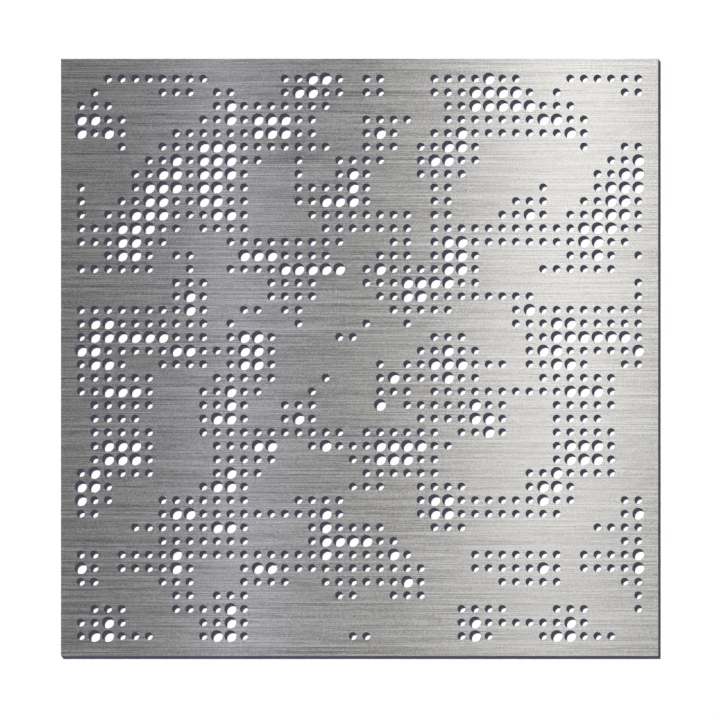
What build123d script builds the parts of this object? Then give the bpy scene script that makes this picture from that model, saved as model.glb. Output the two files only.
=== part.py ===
# A flat square panel of perforated sheet steel, one piece.
#
# The panel lies on its back. The origin is the centre of the back face, which is at z = 0, and the
# brushed front is at z = thickness. The brushing runs along X, and Y runs up the panel.
#
# The holes stand on one square grid, with columns counted from the left and rows from the top. A
# place on the grid is bare, or punched with the small or the large punch. The design is drawn as
# strokes. Large holes fill the first ones and have a halo of small holes, more small holes fill
# the second, and the third keep the metal bare. The design repeats, so that a wider or a taller
# panel goes on with it.

from build123d import *
from functools import cache
from math import hypot
import os

# Panel
width = 600.0
height = 600.0
thickness = 3.0
edge_break = 0.2  # burr taken off the outline, on both faces

# Holes
small_hole_d = 8.0
large_hole_d = 12.0
least_web = 1.6  # metal left between two large holes side by side
border = 14.0  # plain metal between the outline and the outermost large holes

# Four holes at the corners of a rectangle fasten the panel. The columns and rows are counted in
# from its sides and its ends.
corner_fixings = (3, 0)  # small holes
inner_fixings = (7, 4)  # small holes
side_fixings = (3, 13)  # large holes

# Design, in places of the grid: each stroke runs from one end to the other, with a reach around it
repeat_columns = 34
repeat_rows = 46
halo = 1.4  # how far the small holes reach beyond a stroke of large ones

# Large holes
large_strokes = [
    ((17.5, 0), (16.5, 1), 0.8),
    ((30, 0), (30, 0), 0.4),
    ((29, 1.4), (33, 2), 0.9),
    ((11, 2), (11, 3), 0.5),
    ((13, 3.6), (15, 3.4), 0.8),
    ((0, 3), (1, 3), 0.4),
    ((0, 4), (0, 4), 0.4),
    ((2, 4), (2, 4), 0.4),
    ((22, 4), (22, 4), 0.4),
    ((28, 4), (26.4, 6), 0.75),
    ((9.2, 5), (9.3, 9), 0.8),
    ((11, 5), (10.8, 7.2), 0.8),
    ((11, 10), (10, 10), 0.4),
    ((6.6, 7), (3.6, 12), 1.1),
    ((20, 7), (20, 9), 0.5),
    ((18, 9), (20, 9), 0.4),
    ((33, 10), (33, 10), 0.4),
    ((27.5, 12), (27.3, 15), 0.65),
    ((27, 15), (24, 15.5), 0.7),
    ((12, 13), (14, 13), 0.4),
    ((15, 14.4), (19, 14), 0.5),
    ((22, 14), (22, 14), 0.4),
    ((8, 16), (8, 17), 0.4),
    ((33, 17), (33, 17), 0.4),
    ((1, 18.5), (6, 19), 0.6),
    ((0, 20), (2, 21), 0.6),
    ((7, 20), (8, 20), 0.4),
    ((12.4, 19), (12.6, 21), 0.7),
    ((27, 20), (27, 22), 0.6),
    ((26, 21), (28, 21), 0.4),
    ((23, 22), (22, 24), 0.4),
    ((2, 23), (4, 23), 0.4),
    ((11, 23), (10.5, 25), 0.7),
    ((29, 24), (30, 26), 0.6),
    ((16, 25), (16, 25), 0.4),
    ((2.2, 27.5), (3.8, 27.5), 0.8),
    ((13, 27), (14, 27), 0.4),
    ((18, 27), (18, 27), 0.4),
    ((22, 27.5), (25, 27.2), 0.7),
    ((1, 29), (0, 31), 0.5),
    ((11, 29), (10.5, 30), 0.7),
    ((26.5, 31.5), (26.5, 31.5), 0.9),
    ((7, 32), (11, 33), 0.4),
    ((18, 32), (18, 35), 0.4),
    ((18, 34), (21, 34), 0.4),
    ((7, 35), (7, 36), 0.4),
    ((23, 35), (24, 37), 0.4),
    ((0, 36), (0, 36), 0.4),
    ((13, 36), (14, 36), 0.4),
    ((11, 39), (10.5, 41), 0.6),
    ((2, 40), (1.5, 41), 0.6),
    ((29, 40), (29, 41), 0.4),
]

# Small holes away from the large ones
small_strokes = [
    ((2, 0), (9, 0), 0.4),
    ((6, 1), (8, 1), 0.4),
    ((21, 0), (22, 1), 0.8),
    ((26, 0), (27, 1), 0.8),
    ((0, 2), (1, 2), 0.4),
    ((21, 3), (24, 3), 0.4),
    ((21, 5), (22, 6), 0.6),
    ((16, 5), (18, 5), 0.4),
    ((16, 6), (16.5, 9), 0.6),
    ((18, 10.5), (24, 10.5), 0.6),
    ((26.5, 7), (26.5, 10), 0.6),
    ((34, 8), (31.5, 10), 0.5),
    ((28, 11.5), (36, 11.5), 0.6),
    ((26, 16), (33, 16), 0.4),
    ((15, 16), (16, 18), 0.5),
    ((21, 18), (21, 18), 0.3),
    ((19, 19), (20, 19), 0.4),
    ((24, 18), (24, 18), 0.3),
    ((28, 21), (31, 21), 0.4),
    ((31, 23), (34, 22.5), 0.6),
    ((25, 24), (28, 24), 0.4),
    ((22, 26), (25, 26), 0.4),
    ((18, 22), (16.5, 24), 0.5),
    ((7, 20), (10, 20), 0.4),
    ((28, 31.5), (33, 31.5), 0.6),
    ((29, 35.5), (35, 35.5), 0.6),
    ((31, 37), (34, 37), 0.4),
    ((14, 36), (24, 36), 0.4),
    ((18, 37), (23, 37), 0.4),
    ((3, 35.5), (6, 35.5), 0.6),
    ((8, 35), (11, 35), 0.4),
    ((13, 35), (17, 35), 0.4),
    ((4, 33), (8, 33), 0.4),
    ((33, 29), (33, 30), 0.4),
    ((10, 32), (19, 31.3), 0.6),
    ((20, 30), (22, 30), 0.4),
    ((9, 26), (16, 26), 0.4),
    ((1, 25.2), (4, 25.5), 0.6),
    ((25, 25), (28, 25), 0.4),
    ((0, 12), (6, 12), 0.4),
    ((0, 14), (5, 14), 0.4),
    ((7.5, 13), (8, 15), 0.5),
    ((10, 11), (13, 12), 0.5),
    ((16, 12), (19, 12), 0.4),
    ((23.5, 12), (25, 14), 0.6),
    ((30, 40), (34, 40), 0.4),
    ((29, 39), (31, 39), 0.4),
    ((2, 41), (5, 41), 0.4),
    ((7.5, 38), (7.5, 39), 0.6),
    ((19, 38), (20, 38), 0.4),
    ((20, 41), (21, 41), 0.4),
]

# Bare metal inside the halo
bare_strokes = [
    ((0, 0), (0, 0), 1.2),
    ((12.5, 0.5), (13.5, 0.5), 0.9),
    ((7.5, 2.5), (7.5, 2.5), 1.2),
    ((31, 5.5), (36, 6.2), 1.3),
    ((30, 8.3), (30, 8.3), 1.6),
    ((2, 6.8), (2, 6.8), 1.7),
    ((13.5, 8.3), (13.5, 8.3), 1.3),
    ((9.5, 13), (9.5, 13), 1.7),
    ((20, 13.2), (20, 13.2), 1.2),
    ((19.3, 16.3), (19.3, 16.3), 1.9),
    ((0, 15.6), (6, 15.6), 0.6),
    ((20, 20.5), (17, 22), 2),
    ((21, 24), (23, 25), 1),
    ((13.5, 24.8), (13.5, 24.8), 1.3),
    ((7, 23.5), (7, 25.5), 1.3),
    ((28.5, 28), (33, 28), 1.3),
    ((30.5, 29.6), (30.5, 30), 1),
    ((7, 28), (8, 29), 1.2),
    ((15.5, 28), (19, 29), 1.2),
    ((14, 39.7), (26, 39.7), 1.2),
    ((0.5, 33.5), (2.5, 33.2), 1),
    ((1, 38), (5, 38), 0.9),
    ((23, 32.3), (25.5, 34.5), 0.8),
    ((29.5, 38), (36, 38), 0.8),
    ((23, 21), (23, 21), 0.4),
    ((13, 6.6), (14, 6.8), 0.5),
    ((12, 18), (14, 18), 0.4),
]

# Grid, from the holes and the panel
inset = border + large_hole_d / 2
columns = int((width - 2 * inset) // (large_hole_d + least_web)) + 1
rows = int((height - 2 * inset) // (large_hole_d + least_web)) + 1
pitch_x = (width - 2 * inset) / (columns - 1)
pitch_y = (height - 2 * inset) / (rows - 1)


def distance(stroke, column, row):
    """Distance from a place to the reach of a stroke, in places, 0 or less inside it."""
    (x0, y0), (x1, y1), reach = stroke
    across = x1 - x0
    down = y1 - y0
    # The copy of the design in which the stroke lies nearest
    column -= repeat_columns * round((column - (x0 + x1) / 2) / repeat_columns)
    row -= repeat_rows * round((row - (y0 + y1) / 2) / repeat_rows)
    length = hypot(across, down)
    along = ((column - x0) * across + (row - y0) * down) / length**2 if length else 0
    along = min(max(along, 0), 1)
    return hypot(column - x0 - along * across, row - y0 - along * down) - reach


def clearance(strokes, column, row):
    """Distance from a place to the nearest of some strokes."""
    return min(distance(stroke, column, row) for stroke in strokes)


@cache
def punched(column, row):
    """The diameter punched at a place of the grid, or 0 where it stays bare."""
    fixing = (min(column, columns - 1 - column), min(row, rows - 1 - row))
    if fixing in (corner_fixings, inner_fixings):
        return small_hole_d
    if fixing == side_fixings:
        return large_hole_d
    if clearance(large_strokes, column, row) <= 0:
        return large_hole_d
    if clearance(small_strokes, column, row) <= 0:
        return small_hole_d
    if clearance(bare_strokes, column, row) <= 0:
        return 0
    if clearance(large_strokes, column, row) < halo:
        return small_hole_d
    return 0


def centres(diameter):
    """Centres of the holes of one diameter, on the panel."""
    return [
        (inset - width / 2 + column * pitch_x, height / 2 - inset - row * pitch_y)
        for row in range(rows)
        for column in range(columns)
        if punched(column, row) == diameter
    ]


os.makedirs("parts", exist_ok=True)

with BuildPart() as perforated_sheet:
    Box(width, height, thickness, align=(Align.CENTER, Align.CENTER, Align.MIN))
    outline = perforated_sheet.edges().filter_by(Plane.XY)
    chamfer(outline, edge_break)
    with BuildSketch() as holes:
        for diameter in (small_hole_d, large_hole_d):
            with Locations(*centres(diameter)):
                Circle(diameter / 2)
    extrude(amount=thickness, mode=Mode.SUBTRACT)

perforated_sheet.part.label = "perforated_sheet"
export_step(perforated_sheet.part, "parts/perforated_sheet.step")
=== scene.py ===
"""Finishes, floor, lights and camera for a square panel of perforated, brushed sheet steel.

The panel is one piece and lies on its back. Its front and back are brushed along X, and its
outline and the walls of its holes keep the dark film that cutting leaves. Lengths are in metres.
"""

from __future__ import annotations

import logging
import math
from dataclasses import dataclass
from enum import Enum

import bpy
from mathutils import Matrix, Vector


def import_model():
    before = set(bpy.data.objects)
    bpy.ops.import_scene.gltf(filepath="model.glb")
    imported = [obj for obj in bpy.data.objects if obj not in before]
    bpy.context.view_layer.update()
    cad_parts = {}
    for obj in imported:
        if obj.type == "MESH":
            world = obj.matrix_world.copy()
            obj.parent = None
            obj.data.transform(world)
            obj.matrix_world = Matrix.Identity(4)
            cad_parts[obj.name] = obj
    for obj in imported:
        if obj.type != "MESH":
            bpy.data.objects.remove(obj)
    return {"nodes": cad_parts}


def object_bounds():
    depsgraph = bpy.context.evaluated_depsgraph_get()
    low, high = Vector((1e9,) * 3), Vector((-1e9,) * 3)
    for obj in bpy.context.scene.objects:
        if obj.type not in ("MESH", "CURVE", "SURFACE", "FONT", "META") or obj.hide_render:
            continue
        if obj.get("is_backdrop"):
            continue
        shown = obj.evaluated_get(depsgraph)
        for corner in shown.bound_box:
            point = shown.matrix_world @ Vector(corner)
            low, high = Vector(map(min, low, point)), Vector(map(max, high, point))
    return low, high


logger = logging.getLogger("perforated_sheet")

Colour = tuple[float, float, float]

NODE = "perforated_sheet"


class Grain(Enum):
    """The way that marks run on a surface, as the order in which a pattern reads X, Y and Z."""

    ALONG_X = ("X", "Y", "Z")
    THROUGH_SHEET = ("Z", "X", "Y")


class Ray(Enum):
    """Kinds of ray that see the white studio behind the object."""

    CAMERA = "Is Camera Ray"
    GLOSSY = "Is Glossy Ray"
    TRANSMISSION = "Is Transmission Ray"


class Wiring:
    """Adds nodes to one node tree and joins their sockets."""

    def __init__(self, tree: bpy.types.NodeTree) -> None:
        """Keeps the tree.

        Args:
            tree: The node tree of a material, a world or a group.
        """
        self.tree = tree

    def node(self, kind: str, **settings: object) -> bpy.types.Node:
        """Adds a node.

        Args:
            kind: The node's type, such as ShaderNodeMath.
            **settings: Properties of the node to set.

        Returns:
            The new node.
        """
        made = self.tree.nodes.new(kind)
        for name, value in settings.items():
            setattr(made, name, value)
        return made

    def join(self, source: bpy.types.NodeSocket, target: bpy.types.NodeSocket) -> None:
        """Links one socket to another."""
        self.tree.links.new(source, target)

    def feed(self, target: bpy.types.NodeSocket, value: object) -> None:
        """Gives a socket a link, where the value is a socket, or else a constant."""
        if isinstance(value, bpy.types.NodeSocket):
            self.join(value, target)
        else:
            target.default_value = value

    def maths(self, operation: str, *values: object) -> bpy.types.NodeSocket:
        """Works out a number.

        Args:
            operation: The Math node's operation.
            *values: Sockets or constants, in the node's order.

        Returns:
            The socket of the result.
        """
        made = self.node("ShaderNodeMath", operation=operation)
        for target, value in zip(made.inputs, values):
            self.feed(target, value)
        return made.outputs["Value"]

    def scaled(self, value: bpy.types.NodeSocket, low: float, high: float) -> bpy.types.NodeSocket:
        """Maps a mask from 0 to 1 onto the range from low to high."""
        made = self.node("ShaderNodeMapRange", clamp=True)
        self.feed(made.inputs["Value"], value)
        made.inputs["To Min"].default_value = low
        made.inputs["To Max"].default_value = high
        return made.outputs["Result"]

    def blend(self, mask: object, first: object, second: object) -> bpy.types.NodeSocket:
        """Mixes two colours.

        Args:
            mask: How much of the second colour shows, from 0 to 1.
            first: The colour where the mask is 0.
            second: The colour where the mask is 1.

        Returns:
            The socket of the mixed colour.
        """
        made = self.node("ShaderNodeMix", data_type="RGBA")
        colours = [s for s in made.inputs if s.type == "RGBA"]
        self.feed(made.inputs["Factor"], mask)
        self.feed(colours[0], first)
        self.feed(colours[1], second)
        return next(s for s in made.outputs if s.type == "RGBA")


def rgba(colour: Colour) -> tuple[float, float, float, float]:
    """A colour with full alpha."""
    return (*colour, 1.0)


class BrushLines:
    """A node group of fine lines that all run one way, as abrasive belts and cutters leave."""

    NAME = "brush_lines"
    # How long each set of lines is against the length asked for, and how much it counts
    SETS = ((3.3, 1.0), (1.0, 0.75), (0.25, 0.5))
    # Noise and masks lie about this
    MIDDLE = 0.5
    # How far the sets together move the mask from its middle
    STRENGTH = 1.5
    # Size of a speck of the grain against the width of a line
    SPECK = 2.0
    # Step between one set's noise and the next
    STEP = 7.3

    @classmethod
    def group(cls) -> bpy.types.NodeTree:
        """The group, made the first time that it is asked for.

        Returns:
            A group with inputs Vector, Length and Width, and outputs Lines and Grain.
        """
        found = bpy.data.node_groups.get(cls.NAME)
        return found or cls._make()

    @classmethod
    def _make(cls) -> bpy.types.NodeTree:
        """Builds the group and its sockets."""
        tree = bpy.data.node_groups.new(cls.NAME, "ShaderNodeTree")
        for name, kind in (
            ("Vector", "NodeSocketVector"),
            ("Length", "NodeSocketFloat"),
            ("Width", "NodeSocketFloat"),
        ):
            tree.interface.new_socket(name, in_out="INPUT", socket_type=kind)
        for name in ("Lines", "Grain"):
            tree.interface.new_socket(name, in_out="OUTPUT", socket_type="NodeSocketFloat")
        wiring = Wiring(tree)
        asked = wiring.node("NodeGroupInput").outputs
        given = wiring.node("NodeGroupOutput").inputs
        total: object = 0.0
        for number, (stretch, weight) in enumerate(cls.SETS):
            length = wiring.maths("MULTIPLY", asked["Length"], stretch)
            noise = cls._noise(wiring, asked["Vector"], length, asked["Width"], float(number))
            centred = wiring.maths("SUBTRACT", noise, cls.MIDDLE)
            total = wiring.maths("MULTIPLY_ADD", centred, weight, total)
        lines = wiring.maths("MULTIPLY_ADD", total, cls.STRENGTH, cls.MIDDLE)
        wiring.join(lines, given["Lines"])
        speck = wiring.maths("MULTIPLY", asked["Width"], cls.SPECK)
        grain = cls._noise(wiring, asked["Vector"], speck, speck, float(len(cls.SETS)))
        wiring.join(grain, given["Grain"])
        return tree

    @classmethod
    def _noise(
        cls,
        wiring: Wiring,
        place: bpy.types.NodeSocket,
        length: bpy.types.NodeSocket,
        width: bpy.types.NodeSocket,
        seed: float,
    ) -> bpy.types.NodeSocket:
        """Noise drawn out into lines.

        Args:
            wiring: The tree that the nodes go into.
            place: Where on the object the noise is read.
            length: How long a line is.
            width: How wide a line is.
            seed: Moves the noise, so that two sets differ.

        Returns:
            The socket of the noise, about 0.5.
        """
        size = wiring.node("ShaderNodeCombineXYZ")
        for name, value in (("X", length), ("Y", width), ("Z", width)):
            wiring.join(value, size.inputs[name])
        cells = wiring.node("ShaderNodeVectorMath", operation="DIVIDE")
        wiring.join(place, cells.inputs[0])
        wiring.join(size.outputs["Vector"], cells.inputs[1])
        noise = wiring.node("ShaderNodeTexNoise", noise_dimensions="4D")
        wiring.join(cells.outputs["Vector"], noise.inputs["Vector"])
        noise.inputs["W"].default_value = cls.STEP * seed
        noise.inputs["Scale"].default_value = 1.0
        noise.inputs["Detail"].default_value = 0.0
        return noise.outputs["Fac"]


@dataclass(frozen=True)
class LinedMetal:
    """A metal surface with fine lines on it.

    Attributes:
        name: The material's name.
        grain: The way that the lines run.
        dark: Colour at the bottom of a line.
        pale: Colour beside it.
        metallic: 1 for bare metal.
        smooth: Roughness of the smoothest lines.
        rough: Roughness of the roughest lines.
        line_length: Length of a usual line.
        line_width: Width of a line.
        speckle: How much the fine grain between the lines counts against them.
        depth: Height of the lines in the bump.
        anisotropy: How much wider highlights are across the lines than along them.
    """

    name: str
    grain: Grain
    dark: Colour
    pale: Colour
    metallic: float
    smooth: float
    rough: float
    line_length: float
    line_width: float
    speckle: float
    depth: float
    anisotropy: float

    def material(self) -> bpy.types.Material:
        """Builds the material.

        Returns:
            The finished material.
        """
        made = bpy.data.materials.new(self.name)
        made.use_nodes = True
        made.node_tree.nodes.clear()
        wiring = Wiring(made.node_tree)
        lines = self._lines(wiring)
        shader = wiring.node("ShaderNodeBsdfPrincipled")
        shader.inputs["Metallic"].default_value = self.metallic
        shader.inputs["Anisotropic"].default_value = self.anisotropy
        mixed = wiring.maths("MULTIPLY_ADD", lines["Grain"], self.speckle, lines["Lines"])
        mask = wiring.maths("SUBTRACT", mixed, self.speckle * BrushLines.MIDDLE)
        colour = wiring.blend(mask, rgba(self.dark), rgba(self.pale))
        wiring.join(colour, shader.inputs["Base Color"])
        wiring.join(wiring.scaled(mask, self.smooth, self.rough), shader.inputs["Roughness"])
        bump = wiring.node("ShaderNodeBump")
        bump.inputs["Distance"].default_value = self.depth
        wiring.join(lines["Lines"], bump.inputs["Height"])
        wiring.join(bump.outputs["Normal"], shader.inputs["Normal"])
        if self.anisotropy:
            across = wiring.node("ShaderNodeCombineXYZ")
            across.inputs["Y"].default_value = 1.0
            wiring.join(across.outputs["Vector"], shader.inputs["Tangent"])
        output = wiring.node("ShaderNodeOutputMaterial")
        wiring.join(shader.outputs["BSDF"], output.inputs["Surface"])
        return made

    def _lines(self, wiring: Wiring) -> bpy.types.NodeOutputs:
        """Places the group of lines, turned the way of the grain.

        Args:
            wiring: The material's tree.

        Returns:
            The group's outputs.
        """
        place = wiring.node("ShaderNodeTexCoord").outputs["Object"]
        parts = wiring.node("ShaderNodeSeparateXYZ")
        turned = wiring.node("ShaderNodeCombineXYZ")
        wiring.join(place, parts.inputs["Vector"])
        for target, source in zip("XYZ", self.grain.value):
            wiring.join(parts.outputs[source], turned.inputs[target])
        group = wiring.node("ShaderNodeGroup", node_tree=BrushLines.group())
        wiring.join(turned.outputs["Vector"], group.inputs["Vector"])
        group.inputs["Length"].default_value = self.line_length
        group.inputs["Width"].default_value = self.line_width
        return group.outputs


BRUSHED_STEEL = LinedMetal(
    name="brushed_steel",
    grain=Grain.ALONG_X,
    dark=(0.38, 0.38, 0.38),
    pale=(0.85, 0.85, 0.85),
    metallic=1.0,
    smooth=0.36,
    rough=0.52,
    line_length=0.06,
    line_width=0.00045,
    speckle=1.4,
    depth=0.00001,
    anisotropy=0.85,
)

CUT_EDGE = LinedMetal(
    name="cut_edge",
    grain=Grain.THROUGH_SHEET,
    dark=(0.035, 0.036, 0.055),
    pale=(0.075, 0.075, 0.11),
    metallic=0.3,
    smooth=0.42,
    rough=0.6,
    line_length=0.012,
    line_width=0.0005,
    speckle=1.4,
    depth=0.00004,
    anisotropy=0.0,
)


@dataclass
class PerforatedSheet:
    """The panel, whose shape is the frame's own.

    Attributes:
        body: The panel as the frame gives it.
        faces: Finish of the front and the back.
        edges: Finish of the outline and of the walls of the holes.
        level: The least upright part of a normal on a face.
    """

    body: bpy.types.Object
    faces: LinedMetal = BRUSHED_STEEL
    edges: LinedMetal = CUT_EDGE
    level: float = 0.5

    def dress(self) -> None:
        """Gives the faces one finish and the cut edges the other."""
        mesh = self.body.data
        mesh.materials.clear()
        mesh.materials.append(self.faces.material())
        mesh.materials.append(self.edges.material())
        for polygon in mesh.polygons:
            polygon.material_index = int(abs(polygon.normal.z) < self.level)
        logger.info("%s: %d faces", self.body.name, len(mesh.polygons))


@dataclass(frozen=True)
class SoftCard:
    """A soft panel of light that hangs over the sheet, faces down and shows in its steel.

    Attributes:
        name: The lamp's name.
        place: Where its middle is over the sheet.
        height: How high it hangs.
        size: Its width and its length.
        turn: How far it is turned about the vertical, in degrees.
        power: Its power in watts.
        colour: The colour of its light.
    """

    name: str
    place: tuple[float, float]
    height: float
    size: tuple[float, float]
    turn: float
    power: float
    colour: Colour

    def hang(self) -> None:
        """Makes the lamp, which only shows in glossy surfaces."""
        lamp = bpy.data.lights.new(self.name, "AREA")
        lamp.shape = "RECTANGLE"
        lamp.size, lamp.size_y = self.size
        lamp.energy = self.power
        lamp.color = self.colour
        card = bpy.data.objects.new(self.name, lamp)
        card.location = (*self.place, self.height)
        card.rotation_euler.z = math.radians(self.turn)
        card.visible_camera = False
        card.visible_diffuse = False
        bpy.context.scene.collection.objects.link(card)


CARDS = (
    SoftCard("card_right", (0.28, 0.75), 0.85, (0.2, 2.2), -3.5, 3.0, (1.0, 0.985, 0.95)),
    SoftCard("card_left", (-0.12, -0.5), 0.4, (0.01, 2.5), 2.0, 0.32, (0.84, 0.85, 1.0)),
    SoftCard("card_wide", (0.1, -0.2), 0.4, (0.4, 2.2), -34.0, 0.4, (1.0, 0.965, 0.9)),
)


@dataclass
class Studio:
    """A white floor and backdrop, a key lamp, the soft cards and the camera.

    Attributes:
        low: The object's lowest corner.
        high: The object's highest corner.
        shadow: How far the key lamp throws the panel's shadow, for each metre of height.
        key: The key lamp's strength.
        key_angle: How wide the key lamp looks from the panel, in degrees.
        fill: What the world gives to surfaces that aren't glossy.
        ceiling: What a glossy surface sees straight above it.
        ceiling_rise: Heights on the dome where the ceiling starts and where it is whole.
        distance: From the camera to the middle of the panel.
        view_width: Width of what the camera sees at the panel.
        aim: Where the camera stands over the panel, from its middle.
        floor_gap: How far the floor is under the panel.
        floor_size: Side of the floor.
    """

    low: Vector
    high: Vector
    shadow: tuple[float, float] = (0.93, -1.13)
    key: float = 5.2
    key_angle: float = 1.5
    fill: Colour = (0.08, 0.085, 0.12)
    ceiling: Colour = (0.08, 0.08, 0.08)
    ceiling_rise: tuple[float, float] = (0.5, 0.92)
    distance: float = 6.0
    view_width: float = 0.7234
    aim: tuple[float, float] = (0.0005, -0.0027)
    floor_gap: float = 0.0001
    floor_size: float = 60.0

    def build(self) -> None:
        """Makes everything around the panel, and the camera."""
        self._floor()
        self._world()
        self._key_lamp()
        for card in CARDS:
            card.hang()
        self._camera()

    def _floor(self) -> None:
        """A plain white floor, just under the panel."""
        bpy.ops.object.select_all(action="DESELECT")
        place = (0.0, 0.0, self.low.z - self.floor_gap)
        bpy.ops.mesh.primitive_plane_add(size=self.floor_size, location=place)
        floor = bpy.context.active_object
        floor.name = "floor"
        made = bpy.data.materials.new("white_floor")
        made.use_nodes = True
        shader = made.node_tree.nodes["Principled BSDF"]
        shader.inputs["Base Color"].default_value = rgba((1.0, 1.0, 1.0))
        shader.inputs["Roughness"].default_value = 0.9
        shader.inputs["Specular IOR Level"].default_value = 0.0
        floor.data.materials.append(made)
        floor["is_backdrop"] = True

    def _world(self) -> None:
        """A white backdrop with a grey ceiling, and a dim fill for what isn't glossy."""
        world = bpy.data.worlds.new("studio")
        world.use_nodes = True
        world.node_tree.nodes.clear()
        wiring = Wiring(world.node_tree)
        up = wiring.node("ShaderNodeSeparateXYZ")
        wiring.join(wiring.node("ShaderNodeTexCoord").outputs["Generated"], up.inputs["Vector"])
        height = wiring.node("ShaderNodeMapRange", interpolation_type="SMOOTHSTEP")
        wiring.join(up.outputs["Z"], height.inputs["Value"])
        for end, value in zip(("From Min", "From Max"), self.ceiling_rise):
            height.inputs[end].default_value = value
        dome = wiring.blend(height.outputs["Result"], rgba((1.0, 1.0, 1.0)), rgba(self.ceiling))
        path = wiring.node("ShaderNodeLightPath")
        seen = path.outputs[Ray.CAMERA.value]
        for ray in (Ray.GLOSSY, Ray.TRANSMISSION):
            seen = wiring.maths("MAXIMUM", seen, path.outputs[ray.value])
        background = wiring.node("ShaderNodeBackground")
        wiring.join(wiring.blend(seen, rgba(self.fill), dome), background.inputs["Color"])
        output = wiring.node("ShaderNodeOutputWorld")
        wiring.join(background.outputs["Background"], output.inputs["Surface"])
        bpy.context.scene.world = world

    def _key_lamp(self) -> None:
        """A lamp far off, up and to the left, which throws the shadow to the lower right."""
        lamp = bpy.data.lights.new("key", "SUN")
        lamp.energy = self.key
        lamp.angle = math.radians(self.key_angle)
        key = bpy.data.objects.new("key", lamp)
        bpy.context.scene.collection.objects.link(key)
        towards = Vector((*self.shadow, -1.0))
        key.visible_glossy = False
        key.rotation_euler = towards.to_track_quat("-Z", "Y").to_euler()

    def _camera(self) -> None:
        """Looks straight down on the panel."""
        middle = (self.low + self.high) / 2 + Vector((*self.aim, 0.0))
        lens = bpy.data.cameras.new("camera")
        lens.lens = lens.sensor_width * self.distance / self.view_width
        lens.clip_end = 2 * self.floor_size
        camera = bpy.data.objects.new("camera", lens)
        camera.location = middle + Vector((0.0, 0.0, self.distance))
        bpy.context.scene.collection.objects.link(camera)
        bpy.context.scene.camera = camera


def main() -> None:
    """Loads the panel, dresses it and builds the studio round it."""
    logging.basicConfig(level=logging.INFO)
    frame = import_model()
    cad_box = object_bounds()
    PerforatedSheet(frame["nodes"][NODE]).dress()
    Studio(*cad_box).build()
    bpy.context.scene.view_settings.view_transform = "Standard"
    bpy.context.view_layer.update()


if __name__ == "__main__":
    main()
